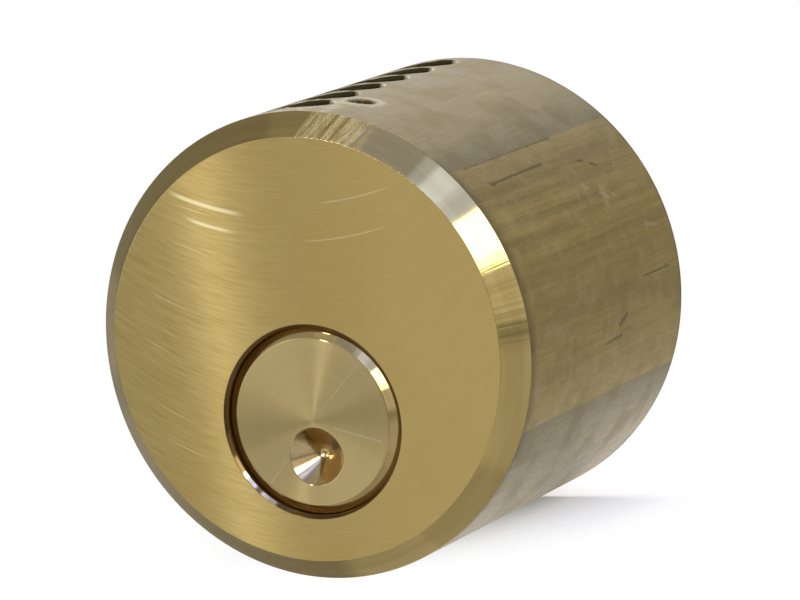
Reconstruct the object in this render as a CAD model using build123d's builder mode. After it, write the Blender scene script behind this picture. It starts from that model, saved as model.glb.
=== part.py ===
from build123d import *
import os
from math import cos, radians, sin, tan

# Dummy lock cylinder: a round brass body with a blank plug where a keyed cylinder has its key plug.
# Frame, in millimetres: the body's axis is Y and the origin is on it, at the back face, which seats
# against the lock case. The front face looks towards -Y. The chambers stand above the plug, +Z up.

# Body, turned from round bar
body_radius = 16.0
body_length = 27.5
front_bevel = 1.55
back_edge_break = 0.2

# Plug and its bore, which lies below the body's axis
plug_drop = 4.9
plug_head_radius = 6.4
plug_head_length = 1.6
plug_radius = 5.9
plug_clearance = 0.05
plug_face_recess = 0.05
plug_tail_recess = 0.05
plug_edge_bevel = 0.35
bore_mouth_bevel = 0.2

# Conical dimple in the plug's face, left by a 90 degree spotting drill with a blunt tip
dimple_radius = 2.0
dimple_tip_radius = 0.2
dimple_angle = 90.0
dimple_drop = 2.4

# Flat retaining ring in a groove in the plug's tail, in a recess of the back face. Its mouth is narrower
# than the groove by the grip on each side, so that it snaps over the plug.
ring_groove_depth = 0.5
ring_float = 0.05
ring_thickness = 0.7
ring_width = 2.0
ring_grip = 0.9
ring_corner = 0.4
ring_recess_depth = 1.2
ring_recess_clearance = 0.5

# Pin chambers, drilled from the top into the plug's bore, evenly spaced between the first, which is set
# from the front face, and the last, which is set from the back face
chamber_count = 6
first_chamber = 5.0
last_chamber = 3.0
chamber_radius = 1.4
chamber_mouth_radius = 1.6
chamber_mouth_angle = 90.0

# Brass caps that close the chambers, driven in below the surface with a punch
cap_length = 2.6
cap_sink = 0.45
cap_clearance = 0.01
cap_edge_bevel = 0.15
cap_punch_radius = 0.6
cap_punch_depth = 0.2

# Steel pins that lock the plug, standing in the first and the last chamber
pin_radius = 1.35
pin_plug_depth = 3.0
pin_end_play = 0.05
pin_end_bevel = 0.25

# Tapped holes for the fixing screws, at the drilled size of an M5 thread
screw_spacing = 22.0
screw_height = 0.0
tap_drill_radius = 2.1
tap_depth = 12.0
drill_point_angle = 118.0

# Stake mark, punched into the side beside the chambers, with the metal raised round it
stake_from_front = 6.8
stake_turn = 10.2
stake_radius = 1.05
stake_depth = 0.7
stake_floor_radius = 0.35
stake_lip_width = 0.3
stake_lip_height = 0.06
stake_lip_root = 0.15

# Planes, radii and heights that the pieces share
front_plane = Plane.XZ.offset(body_length)
back_plane = Plane((0, 0, 0), x_dir=(1, 0, 0), z_dir=(0, 1, 0))
plug_axis = Axis((0, 0, -plug_drop), (0, 1, 0))
bore_radius = plug_radius + plug_clearance
head_bore_radius = plug_head_radius + plug_clearance
head_seat_depth = plug_face_recess + plug_head_length + ring_float
plug_length = body_length - plug_face_recess - plug_tail_recess
plug_section = Plane(
    (0, -plug_tail_recess - plug_length, -plug_drop), x_dir=(0, 1, 0), z_dir=(1, 0, 0)
)
groove_radius = plug_radius - ring_groove_depth
ring_inner_radius = groove_radius + ring_float
ring_outer_radius = ring_inner_radius + ring_width
recess_radius = ring_outer_radius + ring_recess_clearance
ring_back = ring_recess_depth - ring_float - ring_thickness
ring_mouth = 2 * (groove_radius - ring_grip)
chamber_pitch = (body_length - first_chamber - last_chamber) / (chamber_count - 1)
chamber_places = [first_chamber + chamber_pitch * index for index in range(chamber_count)]
pin_places = {"front": chamber_places[0], "rear": chamber_places[-1]}
plug_top = plug_radius - plug_drop
pin_foot = plug_top - pin_plug_depth
cap_foot = body_radius - cap_sink - cap_length
pin_length = cap_foot - pin_end_play - pin_foot


def over_axis(from_front, height):
    """A level plane over the body's axis, at a distance from the front face and a height."""
    return Plane((0, from_front - body_length, height), x_dir=(1, 0, 0), z_dir=(0, 0, 1))


def beside_axis(turn, from_front):
    """The plane that touches the side at a turn from the top, clockwise as seen from the front."""
    outward = (sin(radians(turn)), 0, cos(radians(turn)))
    foot = (body_radius * outward[0], from_front - body_length, body_radius * outward[2])
    return Plane(foot, x_dir=(0, 1, 0), z_dir=outward)


def cone_height(wide_radius, narrow_radius, point_angle):
    """Height of a cone or a blunt cone, from its two radii and the angle across its point."""
    return (wide_radius - narrow_radius) / tan(radians(point_angle / 2))


os.makedirs("parts", exist_ok=True)

# Body: bar and bevel, then the eccentric bore with its seat for the plug's head
with BuildPart() as cylinder_body:
    with BuildSketch(Plane.XZ):
        Circle(body_radius)
    extrude(amount=body_length)
    chamfer(faces().sort_by(Axis.Y)[0].edges(), length=front_bevel)
    chamfer(faces().sort_by(Axis.Y)[-1].edges(), length=back_edge_break)
    with Locations(front_plane):
        with Locations((0, -plug_drop)):
            CounterBoreHole(bore_radius, head_bore_radius, head_seat_depth, body_length)
    front_edges = faces().sort_by(Axis.Y)[0].edges()
    chamfer(front_edges.sort_by(SortBy.RADIUS)[0], length=bore_mouth_bevel)
    # recess of the back face for the retaining ring
    with BuildSketch(Plane.XZ):
        with Locations((0, -plug_drop)):
            Circle(recess_radius)
    extrude(amount=ring_recess_depth, mode=Mode.SUBTRACT)
    # chambers with countersunk mouths, open to the bore
    for place in chamber_places:
        with Locations(over_axis(place, body_radius)):
            CounterSinkHole(
                chamber_radius, chamber_mouth_radius, body_radius + plug_drop, chamber_mouth_angle
            )
    # tapped holes from the back, each ending in the drill's point
    with Locations(back_plane):
        with Locations((-screw_spacing / 2, -screw_height), (screw_spacing / 2, -screw_height)):
            Hole(tap_drill_radius, tap_depth)
    with Locations(Plane((0, -tap_depth, 0), x_dir=(1, 0, 0), z_dir=(0, -1, 0))):
        with Locations((-screw_spacing / 2, screw_height), (screw_spacing / 2, screw_height)):
            Cone(
                tap_drill_radius,
                0,
                cone_height(tap_drill_radius, 0, drill_point_angle),
                align=(Align.CENTER, Align.CENTER, Align.MIN),
                mode=Mode.SUBTRACT,
            )
    # stake mark: the raised lip, then the dent through it
    with Locations(beside_axis(stake_turn, stake_from_front).offset(-stake_lip_root)):
        Cone(
            stake_radius + stake_lip_width + stake_lip_root,
            stake_radius,
            stake_lip_root + stake_lip_height,
            align=(Align.CENTER, Align.CENTER, Align.MIN),
        )
    with Locations(beside_axis(stake_turn, stake_from_front).offset(-stake_depth)):
        Cone(
            stake_floor_radius,
            stake_radius,
            stake_depth + stake_lip_height,
            align=(Align.CENTER, Align.CENTER, Align.MIN),
            mode=Mode.SUBTRACT,
        )
cylinder_body.part.label = "cylinder_body"
export_step(cylinder_body.part, "parts/cylinder_body.step")

# Plug: a turned blank with a head that stops it inwards and a groove for the ring that stops it outwards
with BuildPart() as dummy_plug:
    groove_back = plug_length + plug_tail_recess - ring_back + ring_float
    groove_front = groove_back - ring_thickness - 2 * ring_float
    with BuildSketch(plug_section):
        with BuildLine():
            Polyline(
                (0, 0),
                (0, plug_head_radius - plug_edge_bevel),
                (plug_edge_bevel, plug_head_radius),
                (plug_head_length, plug_head_radius),
                (plug_head_length, plug_radius),
                (groove_front, plug_radius),
                (groove_front, groove_radius),
                (groove_back, groove_radius),
                (groove_back, plug_radius),
                (plug_length, plug_radius),
                (plug_length, 0),
                close=True,
            )
        make_face()
    revolve(axis=plug_axis)
    with Locations(front_plane.offset(-plug_face_recess)):
        with Locations((0, -plug_drop - dimple_drop)):
            Cone(
                dimple_tip_radius,
                dimple_radius,
                cone_height(dimple_radius, dimple_tip_radius, dimple_angle),
                align=(Align.CENTER, Align.CENTER, Align.MAX),
                mode=Mode.SUBTRACT,
            )
    for place in pin_places.values():
        with Locations(over_axis(place, plug_top)):
            Hole(chamber_radius, depth=pin_plug_depth)
dummy_plug.part.label = "dummy_plug"
export_step(dummy_plug.part, "parts/dummy_plug.step")

# Retaining ring: a flat C, open downwards, whose mouth is narrower than the groove that it grips
with BuildPart() as plug_retaining_ring:
    with BuildSketch(Plane.XZ.offset(ring_back)):
        with Locations((0, -plug_drop)):
            Circle(ring_outer_radius)
            Circle(ring_inner_radius, mode=Mode.SUBTRACT)
            Rectangle(ring_mouth, ring_outer_radius, align=(Align.CENTER, Align.MAX), mode=Mode.SUBTRACT)
        fillet(vertices(), radius=ring_corner)
    extrude(amount=ring_thickness)
plug_retaining_ring.part.label = "plug_retaining_ring"
export_step(plug_retaining_ring.part, "parts/plug_retaining_ring.step")

# Locking pins: each stands half in the plug and half in the body, so the plug can't turn
for end, place in pin_places.items():
    with BuildPart() as locking_pin:
        with Locations(over_axis(place, pin_foot)):
            Cylinder(pin_radius, pin_length, align=(Align.CENTER, Align.CENTER, Align.MIN))
        chamfer(edges().filter_by(GeomType.CIRCLE), length=pin_end_bevel)
    locking_pin.part.label = f"locking_pin_{end}"
    export_step(locking_pin.part, f"parts/locking_pin_{end}.step")

# Chamber caps: short brass slugs with a bevelled top edge and the punch's mark
for number, place in enumerate(chamber_places, start=1):
    with BuildPart() as chamber_cap:
        with Locations(over_axis(place, cap_foot)):
            Cylinder(
                chamber_radius - cap_clearance, cap_length, align=(Align.CENTER, Align.CENTER, Align.MIN)
            )
        chamfer(edges().filter_by(GeomType.CIRCLE).sort_by(Axis.Z)[-1], length=cap_edge_bevel)
        with Locations(over_axis(place, cap_foot + cap_length)):
            Cone(
                0,
                cap_punch_radius,
                cap_punch_depth,
                align=(Align.CENTER, Align.CENTER, Align.MAX),
                mode=Mode.SUBTRACT,
            )
    chamber_cap.part.label = f"chamber_cap_{number}"
    export_step(chamber_cap.part, f"parts/chamber_cap_{number}.step")
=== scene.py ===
# %% [markdown]
# # A dummy lock cylinder in brass
#
# A dummy cylinder fills the round hole of a door lock that has no key. It is turned from brass bar, with a
# blank plug below its axis and a row of closed pin chambers along its top. Brass is all about its finish:
# each surface carries the fine lines of the tool that made it, and those lines decide how it shines.
# The imported model gives every size. The lesson starts by loading it.

# %% Load the frame
import math

import bmesh
import bpy
import numpy as np
from mathutils import Matrix, Vector


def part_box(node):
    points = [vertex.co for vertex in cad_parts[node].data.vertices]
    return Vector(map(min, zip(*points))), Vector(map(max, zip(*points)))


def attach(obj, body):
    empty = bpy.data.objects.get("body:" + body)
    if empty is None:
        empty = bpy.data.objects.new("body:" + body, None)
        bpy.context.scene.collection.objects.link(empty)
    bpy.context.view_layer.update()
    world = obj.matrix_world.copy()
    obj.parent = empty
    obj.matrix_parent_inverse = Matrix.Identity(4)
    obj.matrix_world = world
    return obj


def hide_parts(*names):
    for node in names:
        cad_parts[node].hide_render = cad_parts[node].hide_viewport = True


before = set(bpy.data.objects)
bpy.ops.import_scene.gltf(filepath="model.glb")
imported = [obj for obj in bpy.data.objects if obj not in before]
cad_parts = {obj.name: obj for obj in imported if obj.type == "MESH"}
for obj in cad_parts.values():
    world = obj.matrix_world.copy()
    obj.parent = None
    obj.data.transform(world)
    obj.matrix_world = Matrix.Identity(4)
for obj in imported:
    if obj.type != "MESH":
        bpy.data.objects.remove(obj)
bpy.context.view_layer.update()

# %% [markdown]
# ## The camera
#
# The photograph was taken with a long lens from a little right of the front and a little above, and the
# object had rolled a few degrees, so the chambers stand left of the top. The object keeps its upright frame
# here, and the camera takes the roll instead. A long lens far away gives the flat perspective of the picture.

# %% Place the camera at the photograph's angle
mm = 0.001
camera_turn = math.radians(26.68)
camera_rise = math.radians(8.49)
camera_roll = math.radians(6.10)
camera_distance = 368.0 * mm
camera_lens = 230.9
aim_point = Vector((-4.94, -2.64, -0.94)) * mm

away = Vector((
    math.sin(camera_turn) * math.cos(camera_rise),
    -math.cos(camera_turn) * math.cos(camera_rise),
    math.sin(camera_rise),
))
camera_data = bpy.data.cameras.new("photo_camera")
camera_data.lens = camera_lens
camera_data.clip_start = 0.01
camera_data.clip_end = 20.0
camera = bpy.data.objects.new("photo_camera", camera_data)
bpy.context.scene.collection.objects.link(camera)
facing = (-away).to_track_quat("-Z", "Y").to_matrix()
turn_about_view = Matrix.Rotation(camera_roll, 3, -away)
camera.matrix_world = (
    Matrix.Translation(aim_point + away * camera_distance) @ (turn_about_view @ facing).to_4x4()
)
bpy.context.scene.camera = camera
print("camera at", [round(v, 4) for v in camera.matrix_world.translation])

# %% [markdown]
# ## Sizes
#
# The body's radius and length, the plug's place and the chambers' places are read from the boxes of the
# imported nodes. Only the sizes that a box can't tell are written here: bevels, edge radii and depths.

# %% Read the sizes from the frame
body_low, body_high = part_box("cylinder_body")
plug_low, plug_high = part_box("dummy_plug")
ring_low, ring_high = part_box("plug_retaining_ring")
cap_names = sorted(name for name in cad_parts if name.startswith("chamber_cap"))
cap_boxes = [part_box(name) for name in cap_names]

body_radius = body_high.z
body_length = -body_low.y
plug_axis_height = (plug_low.z + plug_high.z) / 2
plug_head_radius = (plug_high.z - plug_low.z) / 2
plug_face_place = plug_low.y
plug_tail_place = plug_high.y
chamber_places = np.array([(low.y + high.y) / 2 for low, high in cap_boxes])
cap_top = cap_boxes[0][1].z
cap_foot = cap_boxes[0][0].z
cap_radius = (cap_boxes[0][1].x - cap_boxes[0][0].x) / 2
chamber_pitch = chamber_places[1] - chamber_places[0]
print("body radius", body_radius, "length", body_length, "chambers at", np.round(chamber_places / mm, 2))

# %% [markdown]
# ## Surfaces from numbers
#
# A turned part is a profile carried round an axis, so each of its surfaces is a grid of points: one
# direction runs along the profile and the other round the axis. Where a hole breaks the grid, the cells
# under it are left out, and a patch of rings joins the edge of that gap to the hole's circle. The patches
# share their outer vertices with the grid, so the whole skin stays one closed mesh.

# %% A mesh that grows by grids of points
class Skin:
    """Collects vertices and four-sided faces as whole arrays, with a finish number on each face."""

    def __init__(self):
        self.points = []
        self.faces = []
        self.finishes = []
        self.count = 0

    def add(self, points):
        """Adds an array of points of any shape (..., 3) and returns their numbers in the same shape."""
        points = np.asarray(points, float)
        numbers = np.arange(self.count, self.count + points[..., 0].size).reshape(points.shape[:-1])
        self.points.append(points.reshape(-1, 3))
        self.count += numbers.size
        return numbers

    def cover(self, numbers, finish, closed=True, keep=None):
        """Puts faces between neighbouring rows of numbered points; closed joins the last column to the first."""
        after = np.roll(numbers, -1, axis=1) if closed else numbers[:, 1:]
        here = numbers if closed else numbers[:, :-1]
        quads = np.stack([here[:-1], here[1:], after[1:], after[:-1]], axis=-1)
        finish = np.broadcast_to(finish, quads.shape[:2])
        chosen = np.ones(quads.shape[:2], bool) if keep is None else keep
        self.faces.append(quads[chosen])
        self.finishes.append(finish[chosen])

    def close(self, ring, finish, centre):
        """Closes a ring of numbered points with triangles that meet in one centre point."""
        middle = self.add(np.asarray(centre, float)[None])[0]
        after = np.roll(ring, -1)
        fan = np.stack([ring, np.full_like(ring, middle), after, after], axis=-1)
        self.faces.append(fan)
        self.finishes.append(np.full(len(ring), finish))

    def build(self, name, materials, sharp_above=40.0):
        """Makes one mesh object at the origin, with its normals outwards and its sharp edges marked."""
        points = np.concatenate(self.points)
        faces = np.concatenate(self.faces)
        finishes = np.concatenate(self.finishes)
        three = faces[:, 2] == faces[:, 3]
        sizes = np.where(three, 3, 4)
        corners = faces.ravel()[np.stack([np.ones(len(faces), bool)] * 3 + [~three], axis=-1).ravel()]
        mesh = bpy.data.meshes.new(name)
        mesh.vertices.add(len(points))
        mesh.vertices.foreach_set("co", points.ravel())
        mesh.loops.add(len(corners))
        mesh.loops.foreach_set("vertex_index", corners)
        mesh.polygons.add(len(faces))
        mesh.polygons.foreach_set("loop_start", np.concatenate([[0], np.cumsum(sizes)[:-1]]))
        for material in materials:
            mesh.materials.append(material)
        mesh.polygons.foreach_set("material_index", finishes.astype(np.int32))
        mesh.update(calc_edges=True)
        mesh.validate()
        work = bmesh.new()
        work.from_mesh(mesh)
        bmesh.ops.recalc_face_normals(work, faces=work.faces)
        work.to_mesh(mesh)
        open_edges = sum(1 for edge in work.edges if not edge.is_manifold)
        work.free()
        mesh.shade_smooth()
        mesh.set_sharp_from_angle(angle=math.radians(sharp_above))
        piece = bpy.data.objects.new(name, mesh)
        bpy.context.scene.collection.objects.link(piece)
        print(name, len(mesh.vertices), "vertices,", len(mesh.polygons), "faces,", open_edges, "open edges")
        return piece


# %% [markdown]
# ## Edges that catch the light
#
# No real edge is a perfect corner: the file, the wheel or years of handling leave a small radius, and it
# shows as a bright hairline. The radius could come from a Bevel modifier, but here the profile already has
# it, as a few points on an arc. Flat sides get one more point close to each end, which keeps them flat.

# %% Profiles with broken edges
def rounded(corners, radii, steps=4):
    """A profile's points, with each inner corner replaced by an arc, or kept where its radius is 0.

    The arc of radius r starts r * tan(turn / 2) before the corner and ends as far after it, where turn is
    the angle between the two sides; its points lie evenly on the circle that touches both sides.
    """
    corners = [np.asarray(corner, float) for corner in corners]
    points = [corners[0]]
    for before, corner, after, radius in zip(corners, corners[1:], corners[2:], radii):
        if radius == 0:
            points.append(corner)
            continue
        to_back = (before - corner) / np.linalg.norm(before - corner)
        to_next = (after - corner) / np.linalg.norm(after - corner)
        half = math.acos(np.clip(to_back @ to_next, -1, 1)) / 2
        middle = (to_back + to_next) / np.linalg.norm(to_back + to_next)
        centre = corner + middle * radius / math.sin(half)
        start = corner + to_back * radius / math.tan(half) - centre
        sweep = math.pi - 2 * half
        end = corner + to_next * radius / math.tan(half) - centre
        side = np.sign(start[0] * end[1] - start[1] * end[0])
        angles = side * np.linspace(0, sweep, steps + 1)
        turned = np.stack([
            start[0] * np.cos(angles) - start[1] * np.sin(angles),
            start[0] * np.sin(angles) + start[1] * np.cos(angles),
        ], axis=-1)
        points.extend(centre + turned)
    points.append(corners[-1])
    return np.array(points)


def guarded(points, guard=0.03 * mm):
    """Adds a point close to each end of every long side, so that smooth shading stays flat between them."""
    out = [points[0]]
    for here, there in zip(points[:-1], points[1:]):
        span = there - here
        length = np.linalg.norm(span)
        if length > 4 * guard:
            out.append(here + span * guard / length)
            out.append(there - span * guard / length)
        out.append(there)
    return np.array(out)


print("a rounded corner has", len(rounded([(0, 0), (1, 0), (1, 1)], [0.1])), "points")


def carried_round(profile, turns, axis_height=0.0):
    """Points of a profile (radius, place along Y) carried round an axis along Y at a height.

    A point at turn a, clockwise from the top as seen from the front, is (r sin a, y, height + r cos a).
    """
    radius = profile[:, None, 0]
    place = np.broadcast_to(profile[:, None, 1], (len(profile), len(turns)))
    return np.stack([radius * np.sin(turns), place, axis_height + radius * np.cos(turns)], axis=-1)


def edge_loop(grid, rows, columns):
    """Numbers of a grid once round the outside of a cell, given its row and column numbers in order."""
    return np.concatenate([
        grid[rows[0], columns[:-1]], grid[rows[:-1], columns[-1]],
        grid[rows[-1], columns[:0:-1]], grid[rows[:0:-1], columns[0]],
    ])


def seen_from(centre, points):
    """Points as seen from a centre, and the directions to them."""
    rim = points - centre
    return rim, rim / np.linalg.norm(rim, axis=1, keepdims=True)


# %% [markdown]
# ## The body
#
# The body is turned from bar, and its bore for the plug lies below its axis. Both are profiles carried
# round, one about the body's axis and one about the plug's. Their rows all have the same columns, so the
# face, the side, the back and the bore are one closed grid. The chambers break it twice, through the side
# and through the bore, and the columns over them stand straight above each other, so that each chamber's
# wall can run from one patch to the other.

# %% Columns round the body
head_bore_radius = plug_head_radius + 0.05 * mm
bore_radius = 5.95 * mm
cell_half = 1.73 * mm
across = np.linspace(-cell_half, cell_half, 13)
strip = np.arcsin(across / body_radius)
stake_side = math.radians(17.5)
turns = np.concatenate([
    strip,
    np.linspace(strip[-1], stake_side, 29)[1:],
    np.linspace(stake_side, 2 * math.pi + strip[0], 141)[1:-1],
])
strip_columns = np.arange(13)


def matched(radius):
    """The columns round an inner wall: right under the strip's, and evenly spread beyond it."""
    inner = np.arcsin(across / radius)
    beyond = [strip[-1], 2 * math.pi + strip[0]], [inner[-1], 2 * math.pi + inner[0]]
    return np.concatenate([inner, np.interp(turns[13:], *beyond)])


bore_turns = matched(bore_radius)
print(len(turns), "columns")

# %% [markdown]
# The rows along the side are placed the same way: even steps over each chamber's cell, with finer rows over
# the first two, where the stake mark lies beside them.

# %% Rows along the side and along the bore
row_shares = [np.linspace(-1, 1, 29)] * 2 + [np.linspace(-1, 1, 13)] * 4


def rows_over_chambers(half, first, last):
    """Places along Y with even steps over each chamber's cell, and the row numbers of each cell."""
    rows, cells = [first], []
    for centre, share in zip(chamber_places, row_shares):
        cell = centre + half * share
        step = cell[1] - cell[0]
        count = max(1, round((cell[0] - rows[-1]) / step))
        rows.extend(np.linspace(rows[-1], cell[0], count + 1)[1:-1])
        cells.append(np.arange(len(rows), len(rows) + len(cell)))
        rows.extend(cell)
    rows.extend(np.linspace(rows[-1], last, 4)[1:])
    return np.array(rows), cells


side_ends = (-25.60 * mm, -0.45 * mm)
bore_ends = (-25.72 * mm, -1.22 * mm)
pocket_half = 1.5 * mm
side_rows, side_cells = rows_over_chambers(cell_half, *side_ends)
bore_rows, bore_cells = rows_over_chambers(pocket_half, *bore_ends)
print(len(side_rows), "rows on the side and", len(bore_rows), "in the bore")

# %% [markdown]
# ## The stake mark
#
# Beside the row a blunt punch has been driven into the side. It pushed the brass down into a pit and up into
# a lip. A height over the side's own grid makes both at once, with no hole to cut and no seam to hide.

# %% The stake mark as a height over the side
stake_turn = math.radians(10.2)
stake_from_front = 6.8 * mm
stake_place = stake_from_front - body_length


def stake_height(turn, place):
    """Height above the side: a rounded pit with a raised lip, both pushed a little out of round.

    With q the distance from the mark's middle, the pit is a cosine bowl inside 1.05 mm and the lip a narrow
    bell at 1.14 mm; two waves round the mark bend the edge.
    """
    along = (place - stake_place) / mm
    beside = (turn - stake_turn) * body_radius / mm
    angle = np.arctan2(along, beside)
    reach = np.hypot(along, beside) / (1 + 0.06 * np.cos(2 * angle + 0.8) + 0.04 * np.cos(3 * angle))
    bowl = np.where(reach < 1.05, -0.60 * (0.5 + 0.5 * np.cos(np.pi * np.clip(reach / 1.05, 0, 1))) ** 0.7, 0)
    lip = 0.055 * np.exp(-(((reach - 1.14) / 0.10) ** 2)) * (0.75 + 0.25 * np.cos(angle + 2.4))
    return (bowl + lip) * mm


print("stake mark in mm: pit", round(stake_height(stake_turn, stake_place) / mm, 2))

# %% [markdown]
# ## One closed skin for the body
#
# The outer profile runs from the face over the bevel and along the side to the back. The inner one returns
# through the ring's recess and the bore to the face. Each row knows its finish, so the materials change
# exactly at an edge, as they do where one tool stopped and the next began.

# %% The body's closed grid of rows
FACE, BEVEL, SIDE, BACK, BORE, WALL, THREAD, MOUTH, LIP = range(9)
front_face = -body_length
face_radius, front_bevel, edge_break = 14.45 * mm, 1.55 * mm, 0.2 * mm
recess_radius, recess_depth, seat_depth = 7.95 * mm, 1.2 * mm, 1.7 * mm
bevel_profile = guarded(rounded([
    (face_radius - 0.4 * mm, front_face), (face_radius, front_face), (body_radius, front_face + front_bevel),
    (body_radius, side_rows[0]),
], [0.10 * mm, 0.10 * mm]))
slopes = np.degrees(np.arctan2(*np.diff(bevel_profile, axis=0).T[::-1]))
bevel_finishes = np.digitize(slopes, [22.5, 67.5])
edge_profile = guarded(rounded([
    (body_radius, side_rows[-1]), (body_radius, -edge_break), (body_radius - edge_break, 0), (15.3 * mm, 0),
], [0.06 * mm, 0.06 * mm]))
recess_profile = guarded(rounded([
    (recess_radius + 0.45 * mm, 0), (recess_radius, 0), (recess_radius, -recess_depth),
    (bore_radius, -recess_depth), (bore_radius, bore_rows[-1]),
], [0.05 * mm, 0, 0]))
recess_finishes = np.where(recess_profile[:-1, 1] > -0.01 * mm, BACK, BORE)
mouth_profile = guarded(rounded([
    (bore_radius, bore_rows[0]), (bore_radius, front_face + seat_depth),
    (head_bore_radius, front_face + seat_depth), (head_bore_radius, front_face + edge_break),
    (head_bore_radius + edge_break, front_face), (7.1 * mm, front_face),
], [0, 0, 0.04 * mm, 0.04 * mm]))
side_grid = carried_round(np.stack([np.full(len(side_rows), body_radius), side_rows], axis=-1), turns)
lifted = 1 + stake_height(turns, side_rows[:, None]) / body_radius
lifted[:, (turns < strip[-1] - 1e-9) | (turns > stake_side)] = 1
side_grid[..., 0] *= lifted
side_grid[..., 2] *= lifted

back_outer = carried_round(edge_profile, turns)
back_inner = carried_round(recess_profile, bore_turns, plug_axis_height)
shares = np.linspace(0, 1, 26)[1:-1, None, None]
back_grid = (1 - shares) * back_outer[-1] + shares * back_inner[0]
bore_grid = carried_round(
    np.stack([np.full(len(bore_rows), bore_radius), bore_rows], axis=-1)[::-1], bore_turns, plug_axis_height
)
mouth_grid = carried_round(mouth_profile, bore_turns, plug_axis_height)
bands = [
    (carried_round(bevel_profile[:-1], turns), bevel_finishes),
    (side_grid, SIDE), (back_outer[1:], np.where(edge_profile[1:, 1] < -0.1 * mm, SIDE, BACK)),
    (back_grid, BACK), (back_inner[:-1], recess_finishes), (bore_grid, BORE), (mouth_grid[1:], BORE),
]
finishes = np.concatenate([np.broadcast_to(finish, len(band)) for band, finish in bands])
on_bevel = np.abs(np.degrees(np.arctan2(*np.diff(mouth_profile, axis=0).T)) % 90 - 45) < 30
finishes[-len(mouth_grid) + 1:-1][on_bevel[1:] & (mouth_profile[1:-1, 1] < front_face + 0.25 * mm)] = MOUTH
finishes[-3:] = FACE

grid_points = np.concatenate([band for band, finish in bands])
assert np.isfinite(grid_points).all()
body_skin = Skin()
grid = body_skin.add(grid_points)
starts = np.cumsum([0] + [len(band) for band, finish in bands])
flat_points = grid_points.reshape(-1, 3)
keep = np.ones(grid.shape, bool)
print("rows in the body's grid:", len(grid))

# %% [markdown]
# ## The chambers
#
# Each chamber is drilled through the round side into the bore, so its mouth is a circle seen from above but
# a saddle in space. The heights of its rings therefore follow the body's circle above and the bore's circle
# below. The edge was peened over the cap, which pushed it a little out of round.

# %% Chambers from the side down to the bore
chamber_radius = 1.4 * mm


def mouth_radius(angle, number):
    """Radius of a chamber's mouth: 1.59 mm, pushed out of round by a few waves where its edge was peened."""
    waves = 0.030 * np.cos(2 * angle + number) + 0.020 * np.cos(3 * angle + 2.1 * number)
    waves += 0.012 * np.cos(5 * angle + 3.7 * number)
    return (1.59 + waves) * mm


for number, (centre, side_cell, bore_cell) in enumerate(zip(chamber_places, side_cells, bore_cells)):
    rows_above = starts[1] + side_cell
    rows_below = starts[5] + len(bore_rows) - 1 - bore_cell
    above = edge_loop(grid, rows_above, strip_columns)
    below = edge_loop(grid, rows_below, strip_columns)
    keep[rows_above[0]:rows_above[-1], :12] = False
    keep[rows_below[-1]:rows_below[0], :12] = False
    rim, outwards = seen_from((0, centre), flat_points[above][:, :2])
    radius = mouth_radius(np.arctan2(outwards[:, 1], outwards[:, 0]), number)[:, None]
    steps = np.array([0.25, 0.5, 0.75, 0.94])[:, None, None]
    spread = (1 - steps) * rim + steps * outwards * (radius + 0.05 * mm)
    edge = np.array([0.05, 0.012, -0.035, -0.12])[:, None, None] * mm
    edge_plan = outwards * (radius + edge)
    wall_plan = np.repeat(outwards[None] * chamber_radius, 7, axis=0)
    foot = flat_points[below][:, :2] - (0, centre)
    toward = np.array([0.35, 0.7])[:, None, None]
    foot_plan = (1 - toward) * outwards * chamber_radius + toward * foot
    plan = np.concatenate([spread, edge_plan, wall_plan, foot_plan])
    round_top = np.sqrt(body_radius ** 2 - plan[..., 0] ** 2)
    round_bore = plug_axis_height + np.sqrt(bore_radius ** 2 - plan[..., 0] ** 2)
    drops = np.array([0, 0, 0, 0, 0, 0.010, 0.050, 0.13])[:, None] * mm
    levels = np.array([15.72, 15.6, 15.3, 14.5, 13.0, 8.0])[:, None] * mm
    height = np.concatenate([
        round_top[:8] - drops, np.broadcast_to(levels, (6, len(above))), round_bore[14:],
    ])
    middle = body_skin.add(np.concatenate([plan[..., :1], plan[..., 1:] + centre, height[..., None]], axis=-1))
    kinds = np.array([SIDE] * 4 + [LIP] * 5 + [WALL] * 7 + [BORE] * 2)[:, None]
    body_skin.cover(np.vstack([above, middle, below]), kinds)
print("chambers joined, points so far:", body_skin.count)

# %% [markdown]
# ## Tapped holes
#
# Two machine screws hold the cylinder from behind. A thread is a ridge that climbs one pitch in a turn, so
# the wall's radius is a function of the depth and of the turn round the hole, and it fades where the tap
# stopped. The drill's point closes the hole.

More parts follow.
